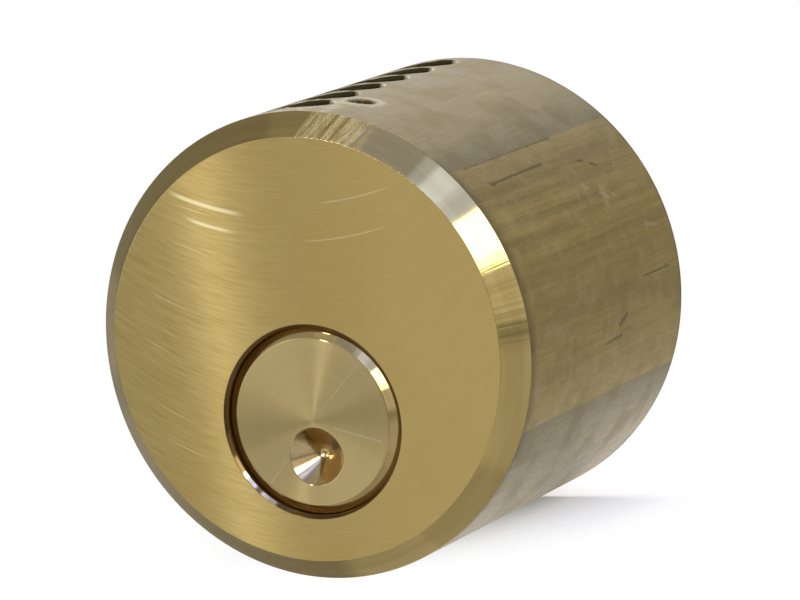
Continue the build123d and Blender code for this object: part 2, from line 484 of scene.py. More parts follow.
# %% Tapped holes in the back, with the thread as a height over the hole's wall
screw_reach = 11.0 * mm
gap_radius = 2.95 * mm
drill_radius = 2.1 * mm
ridge_height = 0.38 * mm
sink_radius = 2.62 * mm
thread_end = 9.8 * mm
hole_depth = 12.0 * mm
point_depth = 13.26 * mm
thread_pitch = 0.8 * mm
thread_depth = np.arange(0, 10.01, 0.1) * mm
back_rows = np.arange(starts[3] - 1, starts[4] + 1)
for side in (-1, 1):
    centre = np.array([screw_reach * side, 0.0])
    reach = np.linalg.norm(grid_points[back_rows][..., [0, 2]] - centre, axis=-1)
    columns = np.flatnonzero(reach.min(axis=0) < gap_radius)
    rows = back_rows[reach[:, columns].min(axis=1) < gap_radius]
    keep[rows[0]:rows[-1], columns[0]:columns[-1]] = False
    loop = edge_loop(grid, rows, columns)
    rim, outwards = seen_from(centre, flat_points[loop][:, [0, 2]])
    steps = np.array([0.4, 0.8])[:, None, None]
    spread = (1 - steps) * rim + steps * outwards * 2.6 * mm
    angle = np.arctan2(outwards[:, 1], outwards[:, 0])
    phase = (thread_depth[:, None] / thread_pitch - angle / (2 * math.pi)) % 1
    ridge = np.clip(1.6 * np.abs(2 * phase - 1) - 0.25, 0, 1)
    fade = np.clip((thread_end - thread_depth) / thread_pitch, 0, 1)[:, None]
    wall = np.maximum(drill_radius + ridge_height * ridge * fade, sink_radius - thread_depth[:, None])
    depths = np.concatenate([np.zeros(2), thread_depth, [hole_depth]])
    wall = np.concatenate([wall, np.full((1, len(loop)), drill_radius)])
    plan = np.concatenate([spread, outwards * wall[..., None]]) + centre
    level = np.broadcast_to(-depths[:, None, None], (len(depths), len(loop), 1))
    middle = body_skin.add(np.concatenate([plan[..., :1], level, plan[..., 1:]], axis=-1))
    kinds = np.where(np.arange(len(depths)) < 3, BACK, THREAD)[:, None]
    body_skin.cover(np.vstack([loop, middle]), kinds)
    body_skin.close(middle[-1], THREAD, (centre[0], -point_depth, centre[1]))

body_skin.cover(np.vstack([grid, grid[:1]]), finishes[:, None], keep=keep)
print("body points:", body_skin.count)

# %% [markdown]
# ## The plug
#
# The plug is a turned blank: a head with a bevelled edge, a shank, and a groove at its tail for the retaining
# ring. Its face has one dimple from a spotting drill, below its middle, so the rings of the face shrink and
# slide down until they meet the dimple's circle. Two pockets in its shank take the locking pins.

# %% The plug's closed grid of rows
plug_shank = 5.9 * mm
head_length, edge_across, edge_deep = 1.6 * mm, 0.70 * mm, 0.50 * mm
groove_radius = plug_shank - 0.5 * mm
pocket_floor = -2.0 * mm
pocket_side = np.arcsin(cell_half / plug_shank)
plug_turns = np.concatenate([
    np.arcsin(across / plug_shank),
    np.linspace(pocket_side, 2 * math.pi - pocket_side, 121)[1:-1],
])
dimple_place = plug_axis_height - 2.4 * mm
dimple_radius = 2.0 * mm
pocket_places = chamber_places[[0, -1]]
groove_low, groove_high = ring_low.y - 0.05 * mm, ring_high.y + 0.05 * mm
head_profile = guarded(rounded([
    (plug_head_radius - 1.15 * mm, plug_face_place), (plug_head_radius - edge_across, plug_face_place),
    (plug_head_radius, plug_face_place + edge_deep), (plug_head_radius, plug_face_place + head_length),
    (plug_shank, plug_face_place + head_length), (plug_shank, pocket_places[0] - pocket_half - 0.1 * mm),
], [0.15 * mm, 0.07 * mm, 0, 0]))
cell = np.linspace(-pocket_half, pocket_half, 13)
shank_rows = np.concatenate([
    pocket_places[0] + cell,
    np.linspace(pocket_places[0] + pocket_half, pocket_places[1] - pocket_half, 8)[1:-1],
    pocket_places[1] + cell,
])
shank_profile = np.stack([np.full(len(shank_rows), plug_shank), shank_rows], axis=-1)
tail_profile = guarded(rounded([
    (plug_shank, shank_rows[-1] + 0.02 * mm), (plug_shank, groove_low), (groove_radius, groove_low),
    (groove_radius, groove_high), (plug_shank, groove_high), (plug_shank, plug_tail_place),
    (1.0 * mm, plug_tail_place),
], [0, 0, 0, 0, 0.05 * mm]))
plug_profile = np.concatenate([head_profile, shank_profile, tail_profile])
plug_grid = carried_round(plug_profile, plug_turns, plug_axis_height)
TURNED, EDGE, DIMPLE, SHANK = range(4)
slopes = np.degrees(np.arctan2(*np.diff(plug_profile, axis=0).T[::-1]))
plug_finishes = np.full(len(slopes), SHANK)
plug_finishes[np.arange(len(slopes)) < 16] = np.where(slopes[:16] > 12, EDGE, TURNED)
plug_finishes[plug_profile[:-1, 1] > plug_face_place + 0.85 * mm] = SHANK
plug_finishes[plug_profile[:-1, 1] > plug_tail_place - 0.01 * mm] = TURNED

plug_skin = Skin()
plug_numbers = plug_skin.add(plug_grid)
keep = np.ones((len(plug_numbers) - 1, len(plug_turns)), bool)
flat_plug = plug_grid.reshape(-1, 3)
for place, first in zip(pocket_places, (len(head_profile), len(head_profile) + len(shank_rows) - 13)):
    rows = np.arange(first, first + 13)
    loop = edge_loop(plug_numbers, rows, strip_columns)
    keep[rows[0]:rows[-1], :12] = False
    rim, outwards = seen_from((0, place), flat_plug[loop][:, :2])
    plan = np.stack([0.5 * rim + 0.7 * mm * outwards] + [chamber_radius * outwards] * 2)
    height = plug_axis_height + np.sqrt(plug_shank ** 2 - plan[..., :1] ** 2)
    height[-1] = pocket_floor
    middle = plug_skin.add(np.concatenate([plan[..., :1], plan[..., 1:] + place, height], axis=-1))
    plug_skin.cover(np.vstack([loop, middle]), SHANK)
    plug_skin.close(middle[-1], SHANK, (0, place, pocket_floor))
plug_skin.cover(plug_numbers, plug_finishes[:, None], keep=keep)
plug_skin.close(plug_numbers[-1], TURNED, (0, plug_tail_place, plug_axis_height))

# %% [markdown]
# ## The dimple
#
# The blank has one conical dimple, which tells it from a keyed plug by touch. Its facets flash because the
# drill chattered. Rings of a cone with soft lobes that turn on their way down give the same flashes.

# %% The dimple: a cone with a blunt tip, a little lobed as a hand-held drill leaves it
def dimple_ring(radius, depth):
    """A ring of the cone: three soft lobes of 0.03 mm turn slowly as the cone goes down."""
    lobes = 0.030 * mm * np.cos(3 * plug_turns + 1.2 + 900 * depth) * min(1.0, radius / mm)
    wide = radius + lobes
    place = np.full_like(plug_turns, plug_face_place + depth)
    return np.stack([wide * np.sin(plug_turns), place, dimple_place + wide * np.cos(plug_turns)], axis=-1)


outer = plug_grid[0]
cone = [(dimple_radius + 0.10 * mm, 0), (dimple_radius + 0.02 * mm, 0), (dimple_radius - 0.03 * mm, 0.02 * mm)]
cone += [(dimple_radius - step * mm, step * mm) for step in (0.10, 0.4, 0.8, 1.2, 1.5, 1.75)]
cone.append((0.1 * mm, 1.79 * mm))
cone = np.stack([dimple_ring(radius, depth) for radius, depth in cone])
shares = np.array([0.33, 0.66])[:, None, None]
slide = (1 - shares) * outer + shares * cone[0]
dimple_numbers = plug_skin.add(np.concatenate([slide, cone]))
kinds = np.where(np.arange(len(dimple_numbers)) < 4, TURNED, DIMPLE)[:, None]
plug_skin.cover(np.vstack([plug_numbers[:1], dimple_numbers]), kinds)
plug_skin.close(dimple_numbers[-1], DIMPLE, (0, plug_face_place + 1.8 * mm, dimple_place))
print("plug points:", plug_skin.count)

# %% [markdown]
# ## Chamber caps
#
# Each chamber is closed with a short brass slug, driven in with a punch and staked. The top is a shallow,
# hammered dish that no two caps share, so its height is a function of the place on the top and of the cap.

# %% Tops of the caps
def cap_skin(place, number):
    """A cap as one closed grid: a hammered dish, a rounded rim, the wall and the foot.

    The dish lies under the rim by 0.16 mm times a bell over the radius, moved off the middle, plus waves.
    """
    angle = np.linspace(0, 2 * math.pi, 49)[:-1]
    reach = np.array([0.2, 0.4, 0.6, 0.8, 1.0, 1.12, 1.22, 1.30, 1.35, cap_radius / mm])
    x = reach[:, None] * np.cos(angle)
    y = reach[:, None] * np.sin(angle)
    bell = np.exp(-((x - 0.25 * np.cos(2.3 * number)) ** 2 + (y - 0.25 * np.sin(2.3 * number)) ** 2) / 0.6)
    waves = 0.025 * np.cos(3.1 * x + 1.7 * number) * np.cos(2.7 * y - 2.9 * number)
    rim = np.where(reach > 1.2, 0.9 * (reach - 1.2) ** 2 / 0.19, 0)[:, None]
    top = cap_top - (0.03 + 0.16 * bell + waves * (1 - (reach[:, None] / 1.39) ** 2) + rim * 0.8) * mm
    wall = np.array([[cap_top - 0.3 * mm], [cap_foot + 0.1 * mm], [cap_foot], [cap_foot]])
    radius = np.array([1.39, 1.39, 1.34, 0.8])[:, None]
    x = np.concatenate([x, radius * np.cos(angle)]) * mm
    y = np.concatenate([y, radius * np.sin(angle)]) * mm + place
    skin = Skin()
    points = skin.add(np.stack([x, y, np.concatenate([top, wall + 0 * angle])], axis=-1))
    skin.cover(points, 0)
    skin.close(points[0], 0, (0, place, top[0].mean()))
    skin.close(points[-1], 0, (0, place, cap_foot))
    return skin


cap_skins = [cap_skin(place, number) for number, place in enumerate(chamber_places)]
print(len(cap_skins), "caps")

# %% [markdown]
# ## Shared effects as node groups
#
# Every finish on this object is some kind of fine parallel lines. One group draws lines turned round a
# centre, one draws lines along a direction, and one draws a single scratch between two points. Two more give
# cloudy tarnish and the distance from the row of chambers. They give out only values and masks. Each
# material places them with its own numbers, and keeps its own metal shader, so the shader's plain values
# survive the export.
#
# A formula is easier to read than a row of Math nodes. So a socket is wrapped in a small class, and each
# sign in a formula adds one Math node to the tree that is being worked on.

# %% Values that can stand in a formula
class Value:
    """A socket that can stand in a formula; each sign adds one Math node to the tree at work."""

    def __init__(self, socket):
        self.socket = socket

    def __add__(self, other):
        return maths("ADD", self, other)

    def __sub__(self, other):
        return maths("SUBTRACT", self, other)

    def __rsub__(self, other):
        return maths("SUBTRACT", other, self)

    def __mul__(self, other):
        return maths("MULTIPLY", self, other)

    def __truediv__(self, other):
        return maths("DIVIDE", self, other)

    __radd__, __rmul__ = __add__, __mul__


def work_in(new_tree):
    """Makes a node tree the one that every helper adds to."""
    global tree
    tree = new_tree


def put(value, socket):
    """Links a value to a socket, or sets the socket to a plain number, vector or colour."""
    if isinstance(value, Value):
        tree.links.new(value.socket, socket)
    else:
        socket.default_value = value


def feed(sockets, **values):
    """Puts each value to the socket of its name, with _ for a space."""
    for name, value in values.items():
        put(value, sockets[name.replace("_", " ")])


def named(sockets):
    """Sockets as values, by their names."""
    return {socket.name: Value(socket) for socket in sockets}


def operated(kind, operation, values):
    """A node of a kind that does one operation on values, numbers or vectors."""
    node = tree.nodes.new(kind)
    node.operation = operation
    sockets = [node.inputs[0], node.inputs["Scale"]] if operation == "SCALE" else node.inputs
    for value, socket in zip(values, sockets):
        put(value, socket)
    return node


def maths(operation, *values, clamp=False):
    """A Math node of one operation on values or numbers."""
    node = operated("ShaderNodeMath", operation, values)
    node.use_clamp = clamp
    return Value(node.outputs[0])


def vectors(operation, *values):
    """A Vector Math node of one operation; a length, distance or dot product is its second output."""
    node = operated("ShaderNodeVectorMath", operation, values)
    return Value(node.outputs[int(operation in ("LENGTH", "DISTANCE", "DOT_PRODUCT"))])


def largest(*values):
    """The largest of several values."""
    most = values[0]
    for value in values[1:]:
        most = maths("MAXIMUM", most, value)
    return most


# %% [markdown]
# An effect needs to know where it is: the place on the object in millimetres, a step that is soft at a
# border, and noise. Each is one or two nodes, so each gets a short name.

# %% Places, steps and noise
def parted(vector):
    """The three numbers of a vector."""
    node = tree.nodes.new("ShaderNodeSeparateXYZ")
    put(vector, node.inputs[0])
    return [Value(socket) for socket in node.outputs]


def joined(*values):
    """A vector of up to three numbers."""
    node = tree.nodes.new("ShaderNodeCombineXYZ")
    for value, socket in zip(values, node.inputs):
        put(value, socket)
    return Value(node.outputs[0])


def object_place():
    """The point on the object, in metres, or on the sky the direction that is looked at."""
    return Value(tree.nodes.new("ShaderNodeTexCoord").outputs["Object"])


def place_mm():
    """The point on the object, in millimetres."""
    return vectors("SCALE", object_place(), 1 / mm)


def flat_from(centre_mm):
    """The way from a centre to the point, without its part along the axis."""
    return vectors("MULTIPLY", vectors("SUBTRACT", place_mm(), centre_mm), (1, 0, 1))


def turn_from_top(across, up):
    """Degrees clockwise from the top as seen from the front, from -180 to 180."""
    return maths("ARCTAN2", across, up) * (180 / math.pi)


def smooth(value, low, high):
    """0 at low and 1 at high, with a smooth step between."""
    node = tree.nodes.new("ShaderNodeMapRange")
    node.interpolation_type = "SMOOTHSTEP"
    feed(node.inputs, Value=value, From_Min=low, From_Max=high)
    return Value(node.outputs["Result"])


def between(value, low, high, soft):
    """1 between low and high, fading to 0 over soft beyond them."""
    return smooth(value, low - soft, low) * smooth(value, high + soft, high)


def noise(vector, scale=1.0, detail=2.0, rough=0.5):
    """A noise texture's value between 0 and 1 at a vector."""
    node = tree.nodes.new("ShaderNodeTexNoise")
    feed(node.inputs, Vector=vector, Scale=scale, Detail=detail, Roughness=rough)
    return Value(node.outputs["Fac"])


def node_group(name, inputs, outputs):
    """A new shader group with named sockets, made the tree at work; inputs holds their plain values."""
    group = bpy.data.node_groups.new(name, "ShaderNodeTree")
    for socket, plain in inputs.items():
        kind = "NodeSocketVector" if isinstance(plain, tuple) else "NodeSocketFloat"
        group.interface.new_socket(name=socket, in_out="INPUT", socket_type=kind).default_value = plain
    for socket in outputs:
        group.interface.new_socket(name=socket, in_out="OUTPUT", socket_type="NodeSocketFloat")
    work_in(group)
    given, result = group.nodes.new("NodeGroupInput"), group.nodes.new("NodeGroupOutput")
    return group, named(given.outputs), result.inputs


# %% [markdown]
# A lathe's lines are circles. The noise behind them takes the distance from the centre as one coordinate,
# stretched, and the direction as the other two, squeezed, so that it changes fast outwards and slowly round.

# %% Lines turned round a centre
turned_lines, given, result = node_group(
    "turned lines", {"Centre mm": (0, 0, 0), "Lines per mm": 6.0, "Around": 0.5}, ["Fine", "Broad"]
)
flat = flat_from(given["Centre mm"])
outwards = parted(vectors("NORMALIZE", flat))
line = vectors("LENGTH", flat) * given["Lines per mm"]
aside, above = outwards[0] * given["Around"], outwards[2] * given["Around"]
feed(
    result, Fine=noise(joined(line, aside, above), 1.0, 2.0, 0.6),
    Broad=noise(joined(line * 0.2, aside, above), 1.0, 2.0, 0.6),
)
print(turned_lines.name, len(tree.nodes), "nodes")

# %% [markdown]
# Drawn bar has straight lines. The belt's arcs are straight too, once a point is given by its arc and its
# place along the arc. So one group serves the side and the face: noise with a stretch for each direction.

# %% Lines along a direction
drawn_lines, given, result = node_group(
    "drawn lines", {"Place": (0, 0, 0), "Lines per mm": (6, 0.1, 6)}, ["Fine", "Broad"]
)
stretched = vectors("MULTIPLY", given["Place"], given["Lines per mm"])
feed(result, Fine=noise(stretched, 1.0, 2.0, 0.6), Broad=noise(stretched, 0.2, 3.0, 0.55))
print(drawn_lines.name, len(tree.nodes), "nodes")

# %% [markdown]
# A scratch is a line that a hard edge drew. The mask compares the distance from a stretch between two points
# with a width, and noise makes that width uneven, so that the line starts and stops like a real one. The same
# mask draws the thin rays of painted highlight on the plug's face.

# %% One scratch or nick between two points
line_mark, given, result = node_group(
    "line_mark", {"Start mm": (0, 0, 0), "End mm": (1, 0, 0), "Width mm": 0.1}, ["Mask"]
)
here = place_mm()
from_start = vectors("SUBTRACT", here, given["Start mm"])
whole = vectors("SUBTRACT", given["End mm"], given["Start mm"])
share = maths(
    "DIVIDE", vectors("DOT_PRODUCT", from_start, whole), vectors("DOT_PRODUCT", whole, whole), clamp=True
)
distance = vectors("DISTANCE", from_start, vectors("SCALE", whole, share))
width = given["Width mm"] * (noise(here, 2.5, 3.0) * 2.0 - 0.1)
feed(result, Mask=smooth(distance / width, 1.0, 0.1))
print(line_mark.name, len(tree.nodes), "nodes")

# %% [markdown]
# Tarnish gathers in clouds. Smooth noise between two levels gives patches with soft borders.

# %% Cloudy tarnish
tarnish, given, result = node_group("tarnish", {"Clouds per mm": 0.3, "Low": 0.45, "High": 0.7}, ["Mask"])
clouds = vectors("SCALE", place_mm(), given["Clouds per mm"])
feed(result, Mask=smooth(noise(clouds, 1.0, 3.0), given["Low"], given["High"]))
print(tarnish.name, len(tree.nodes), "nodes")

# %% [markdown]
# The chambers stand in an even row, so one group can tell how far any point is from the nearest of them: it
# rounds the place along the row to a whole step. Every effect round the mouths can use it.

# %% Distance from the nearest chamber's middle
chamber_row, given, result = node_group(
    "chamber row", {"First mm": -22.5, "Pitch mm": 3.9}, ["Distance", "Across"]
)
x, y, z = parted(place_mm())
steps = (y - given["First mm"]) / given["Pitch mm"]
nearest = maths("MINIMUM", largest(maths("ROUND", steps), 0.0), len(chamber_places) - 1.0)
below_row = (1.0 - smooth(z, 2.0, 6.0)) * 9.0
distance = vectors("LENGTH", joined(x, (steps - nearest) * given["Pitch mm"], below_row))
feed(result, Distance=distance, Across=x)
print(chamber_row.name, len(tree.nodes), "nodes")

# %% [markdown]
# ## Brass finishes
#
# Polished brass is a pure metal: its colour is the colour of its reflections. What differs from surface to
# surface is the roughness and its direction. A turned face throws light along its radius, so a lamp shows as
# a fan, and the linished front throws it across its long, shallow arcs. The metal shader takes that
# direction as its tangent, and a faint bump breaks it up into single lines.

# %% Helpers for metals
def metal(name, roughness, directed=0.0):
    """A material and its metal shader's sockets; roughness and directed, its share of direction, are plain."""
    material = bpy.data.materials.new(name)
    material.use_nodes = True
    work_in(material.node_tree)
    shader = tree.nodes["Principled BSDF"].inputs
    feed(shader, Metallic=1.0, Roughness=roughness, Anisotropic=directed)
    return material, shader


def use(group, **values):
    """Places a group in the tree at work with its inputs fed, and returns its outputs by name."""
    node = tree.nodes.new("ShaderNodeGroup")
    node.node_tree = group
    feed(node.inputs, **values)
    return named(node.outputs)


def blend(amount, first, second):
    """Mixes two colours by an amount."""
    node = tree.nodes.new("ShaderNodeMix")
    node.data_type = "RGBA"
    put(amount, node.inputs["Factor"])
    for colour, socket in ((first, node.inputs[6]), (second, node.inputs[7])):
        put((*colour, 1) if isinstance(colour, tuple) else colour, socket)
    return Value(node.outputs[2])


def bumped(shader, height, depth_mm):
    """Feeds a height through a Bump node to the shader's normal."""
    node = tree.nodes.new("ShaderNodeBump")
    feed(node.inputs, Distance=depth_mm * mm, Height=height)
    feed(shader, Normal=Value(node.outputs["Normal"]))


def range_of(value, low, high):
    """Stretches a value from 0..1 to low..high."""
    return maths("MULTIPLY_ADD", value, high - low, low)


def outwards_from(centre_mm):
    """The direction away from a centre, across lines turned round it."""
    return vectors("NORMALIZE", flat_from(centre_mm))


def turn_of(centre_mm=(0, 0, 0)):
    """Degrees round a centre, clockwise from the top as seen from the front."""
    x, y, z = parted(vectors("SUBTRACT", place_mm(), centre_mm))
    return turn_from_top(x, z)


def marks(rows):
    """The strongest of several line marks, such as scratches, nicks and rays of painted highlight, each given as
    start, end and width in millimetres.
    """
    return largest(*(use(line_mark, Start_mm=a, End_mm=b, Width_mm=width)["Mask"] for a, b, width in rows))


# %% [markdown]
# ## The front face
#
# The face was linished on a belt, by hand, in long arcs that all have the same radius. Across such lines a
# metal spreads its highlight wide, and along them it keeps it narrow, so a lamp becomes a crisp upright band.
# Strong anisotropy with its tangent across the arcs does that. Painted stripes would stay still when the
# object turns; this band moves. A few deeper strokes and a little tone give the belt's grain.

# %% Front face: linished in long arcs
arc_radius_mm = 24.0
arc_middle_mm = 1.0


def arcs_over_face():
    """The level across the arcs with the place along them, and the direction across them.

    The lines are arcs of one radius r, each straight above the next, so a line's level is
    z + sqrt(r * r - (x - c) * (x - c)), and the direction across it is
    (-(x - c) / r, sqrt(1 - ((x - c) / r)^2)).
    """
    x, y, z = parted(place_mm())
    lean = (x - arc_middle_mm) / arc_radius_mm
    rise = maths("SQRT", 1.0 - lean * lean)
    return rise * arc_radius_mm + z, x, joined(lean * -1.0, 0.0, rise)


def arc_strokes(level, x, rows):
    """The strongest of several strokes along the arcs, each from a point (x, z) to an ending x, with a width."""
    strokes = []
    for x_start, z_start, x_end, width in rows:
        own_level = z_start + math.sqrt(arc_radius_mm ** 2 - (x_start - arc_middle_mm) ** 2)
        run = smooth(x, x_start, x_start + 1.2) * smooth(x, x_end, x_end - 1.6)
        strokes.append(smooth(maths("ABSOLUTE", level - own_level), width, width * 0.2) * run)
    return largest(*strokes)


print("arcs of", arc_radius_mm, "mm")

# %% [markdown]
# The grain is two sizes of lines: wide ones for tone, and hairs. The belt bit deeper on the left, so the tone
# is strongest there. Single strokes follow the same arcs, because the same belt made them.

# %% The face's colour and grain
face_finish, shader = metal("linished_brass", 0.31, 1.0)
level, along, across_arcs = arcs_over_face()
wide, hairs = (
    use(drawn_lines, Place=joined(level, along), Lines_per_mm=per_mm)["Fine"]
    for per_mm in ((3.2, 0.22, 1.0), (8.0, 0.55, 1.0))
)
cloud = use(tarnish, Clouds_per_mm=0.14, Low=0.40, High=0.72)["Mask"]
worked = range_of(smooth(along, 2.0, -7.0), 0.30, 1.0)
deep = arc_strokes(level, along, [(-9.2, 11.2, -3.2, 0.22), (-8.2, 9.4, -3.9, 0.20)])
faint = arc_strokes(level, along, [
    (-8.8, 10.4, -5.6, 0.08), (-9.6, 8.0, -6.5, 0.07), (-7.4, 7.3, -4.9, 0.07), (-11.6, 4.6, -8.0, 0.07),
    (-12.4, 1.4, -9.6, 0.08), (-12.2, -3.0, -8.2, 0.07), (-10.8, -6.0, -7.4, 0.08), (0.5, 7.4, 7.5, 0.07),
    (2.0, 9.9, 8.0, 0.07),
])
strokes = largest(deep, faint * 0.45)
tone = (wide - 0.5) * 1.3 + (hairs - 0.5) * 1.7
tone = maths("MULTIPLY_ADD", tone, worked, 0.5, clamp=True)
colour = blend(tone, (0.475, 0.345, 0.118), (0.635, 0.480, 0.190))
colour = blend(cloud * 0.35, colour, (0.53, 0.375, 0.115))
colour = blend(strokes * 0.80, colour, (0.95, 0.84, 0.50))
feed(shader, Base_Color=colour, Roughness=range_of(wide, 0.27, 0.35), Tangent=across_arcs)
bumped(shader, (wide * 0.7 + hairs * 0.3) * worked + strokes * -0.8, 0.006)
print(face_finish.name, len(tree.nodes), "nodes")

# %% [markdown]
# ## The turned surfaces
#
# The plug's face, the back, the bore and the rounded edges were all turned on a lathe, so one function makes
# their finishes from a centre, a roughness and two colours of brass. On the plug the lines are so fine that
# only the fan of light shows. The bore and its mouth are coloured dark as painted shade, and the mouth has
# two painted glints.

# %% Turned finishes: back, bore and edge
def turned_finish(name, centre_mm, roughness, directed, dark, light, lines_per_mm, depth_mm, around):
    """Brass turned round a centre: the lines run round it, and the light is thrown outwards from it."""
    material, shader = metal(name, sum(roughness) / 2, directed)
    lines = use(turned_lines, Centre_mm=centre_mm, Lines_per_mm=lines_per_mm, Around=around)
    colour = blend(smooth(lines["Broad"], 0.3, 0.7), dark, light)
    rough = range_of(lines["Broad"], *roughness)
    feed(shader, Base_Color=colour, Roughness=rough, Tangent=outwards_from(centre_mm))
    bumped(shader, lines["Fine"], depth_mm)
    return material, shader, colour


plug_middle = (0, 0, plug_axis_height / mm)
dimple_middle = (0, 0, dimple_place / mm)
face_mm = -body_length / mm
back_finish, bore_finish, edge_finish = (turned_finish(*values)[0] for values in (
    ("faced_brass", (0, 0, 0), (0.26, 0.36), 0.85, (0.49, 0.38, 0.17), (0.60, 0.46, 0.21), 4, 0.010, 0.3),
    # The bore's dark colours are painted shade for the gap round the plug.
    ("bored_brass", plug_middle, (0.35, 0.50), 0.3, (0.16, 0.10, 0.04), (0.30, 0.20, 0.09), 5, 0.010, 0.8),
    ("edge_brass", plug_middle, (0.06, 0.10), 0.5, (0.46, 0.34, 0.14), (0.60, 0.45, 0.20), 7, 0.002, 1.6),
))
print("turned:", back_finish.name, bore_finish.name, edge_finish.name)

# %% [markdown]
# Three fine pale rays run outwards on the plug's face: painted highlights, thin lines of light that the turned
# face throws, painted into its colour. They are lines between points given by a turn and a distance from the
# plug's middle.

# %% The plug's face, with three fine rays of painted highlight
plug_finish, shader, colour = turned_finish(
    "turned_brass", plug_middle, (0.285, 0.300), 0.96, (0.555, 0.430, 0.195), (0.585, 0.450, 0.205),
    8, 0.0015, 0.1
)


def on_plug_face(turn, reach):
    """A point of the plug's face at a turn in degrees and a distance from its middle."""
    turn = math.radians(turn)
    return reach * math.sin(turn), face_mm + 0.05, plug_middle[2] + reach * math.cos(turn)


# Painted highlights: three thin pale rays of light on the plug's face.
rays = marks([
    (on_plug_face(turn, start), on_plug_face(turn, end), width)
    for turn, start, end, width in ((45, 0.8, 5.4, 0.06), (106, 1.6, 5.2, 0.12), (221, 3.6, 5.5, 0.07))
])
feed(shader, Base_Color=blend(rays * 0.35, colour, (0.80, 0.72, 0.52)))
print(plug_finish.name, len(tree.nodes), "nodes")

# %% [markdown]
# The bore's mouth is coloured nearly black as painted shade, a dark ring round the plug, with two bright
# patches on its lower left as painted glints. The dimple's wall is bright, with painted shade on its upper
# right that stops short of the tip.

# %% The bore's mouth and the dimple
# The mouth's nearly black colours are painted shade.
mouth_finish, shader, colour = turned_finish(
    "mouth_brass", plug_middle, (0.08, 0.14), 0.5, (0.10, 0.055, 0.015), (0.18, 0.11, 0.04), 7, 0.003, 1.2
)
turn = turn_of(plug_middle)
# Painted glints: two bright patches on the mouth's lower left.
painted_glints = largest(between(turn, -147.0, -139.0, 3.0), between(turn, -131.0, -123.0, 3.0))
feed(shader, Base_Color=blend(painted_glints, colour, (0.80, 0.62, 0.36)))

dimple_finish, shader, colour = turned_finish(
    "drilled_brass", dimple_middle, (0.07, 0.13), 0.5, (0.54, 0.38, 0.17), (0.66, 0.50, 0.27), 5, 0.006, 1.5
)
# Painted shade: the dimple's upper right wall is darkened, short of the tip.
x, y, z = parted(vectors("SUBTRACT", place_mm(), dimple_middle))
painted_shade = smooth(x * 0.55 + z, 0.15, 0.75) * smooth(y, face_mm + 1.9, face_mm + 1.3)
feed(shader, Base_Color=blend(painted_shade * 0.8, colour, (0.22, 0.13, 0.035)))
print(mouth_finish.name, dimple_finish.name, len(tree.nodes), "nodes")

# %% [markdown]
# ## The bevel
#
# The bevel was cut last and shines most, so it mirrors the studio in sharp patches. The tool chattered over
# one stretch, which left short marks across it. Near the chambers it was scraped by whatever struck the
# row, and two furrows remain.

# %% Bevel: bright, with chatter marks across it and a scraped patch near the chambers
bevel_finish, shader = metal("bevel_brass", 0.11, 0.8)
turn = turn_of()
reach = vectors("LENGTH", flat_from((0, 0, 0)))
lines = use(turned_lines, Centre_mm=(0, 0, 0), Lines_per_mm=7.0, Around=1.6)
chatter = noise(joined(turn * 0.62, reach * 0.12), 1.0, 1.5, 0.6)
chattered = between(turn, 70.5, 88.0, 4.0)
colour = blend(smooth(lines["Broad"], 0.3, 0.7), (0.53, 0.395, 0.150), (0.62, 0.470, 0.190))
colour = blend(chattered * smooth(chatter, 0.55, 0.38) * 0.40, colour, (0.34, 0.245, 0.090))
leaning = reach * -1.6 + turn
scraped = between(leaning, -19.0, -3.2, 0.8)
scrape = noise(joined(leaning * 0.85, reach * 0.9), 1.0, 3.0, 0.65)
furrows = largest(between(leaning, -12.6, -12.0, 0.5), between(leaning, -9.4, -8.9, 0.5))
patch = blend(smooth(scrape, 0.36, 0.60), (0.46, 0.35, 0.155), (0.78, 0.63, 0.34))
patch = blend(furrows * 0.75, patch, (0.20, 0.145, 0.055))
colour = blend(scraped * 0.75, colour, patch)
feed(shader, Base_Color=colour, Roughness=scraped * 0.16 + 0.11, Tangent=outwards_from((0, 0, 0)))
bumped(shader, scrape * scraped * 6.0 + chatter * chattered * 3.0 + lines["Fine"] * 0.5, 0.004)
print(bevel_finish.name, len(tree.nodes), "nodes")

# %% [markdown]
# ## The side
#
# The side still has the skin of drawn bar: long streaks along the axis, gone dull. A zone on the right lies
# cleaner between two straight borders, where another part covered it. Nicks and scuffs come from handling.
# Round each mouth the side is painted pale on the right, a painted highlight, and dark on the left, painted
# shade.

# %% Side: a dull skin with long streaks and a cleaner, browner zone
side_finish, shader = metal("drawn_brass", 0.26, 0.85)
feed(shader, Specular_IOR_Level=0.0)
here = place_mm()
x, y, z = parted(here)
turn = turn_of()
streaks = use(drawn_lines, Place=here, Lines_per_mm=(1.6, 0.06, 1.6))
hairs = use(drawn_lines, Place=here, Lines_per_mm=(5.0, 0.25, 5.0))["Fine"]
stain = use(tarnish, Clouds_per_mm=0.35, Low=0.45, High=0.68)["Mask"]
scuff = use(tarnish, Clouds_per_mm=0.9, Low=0.50, High=0.66)["Mask"]
wander = (streaks["Broad"] - 0.5) * 1.2 + turn
cleaner = smooth(wander, 45.0, 45.7) * smooth(wander, 113.4, 112.4)
tone = maths("MULTIPLY_ADD", hairs - 0.5, 1.2, (streaks["Fine"] - 0.5) * 1.1 + 0.5, clamp=True)
dull = blend(tone, (0.26, 0.205, 0.100), (0.39, 0.310, 0.150))
clean = blend(tone, (0.38, 0.270, 0.080), (0.56, 0.415, 0.140))
colour = blend(cleaner, dull, clean)
colour = blend(stain * 0.30, colour, (0.32, 0.230, 0.095))
colour = blend(scuff * cleaner * 0.28, colour, (0.62, 0.46, 0.24))
print("side zones in degrees from the top: dull to 45, clean to 113")

# %% [markdown]
# Painted shade: two soft steps along the axis darken the side just behind the bevel, on its right half, and
# along the back edge.

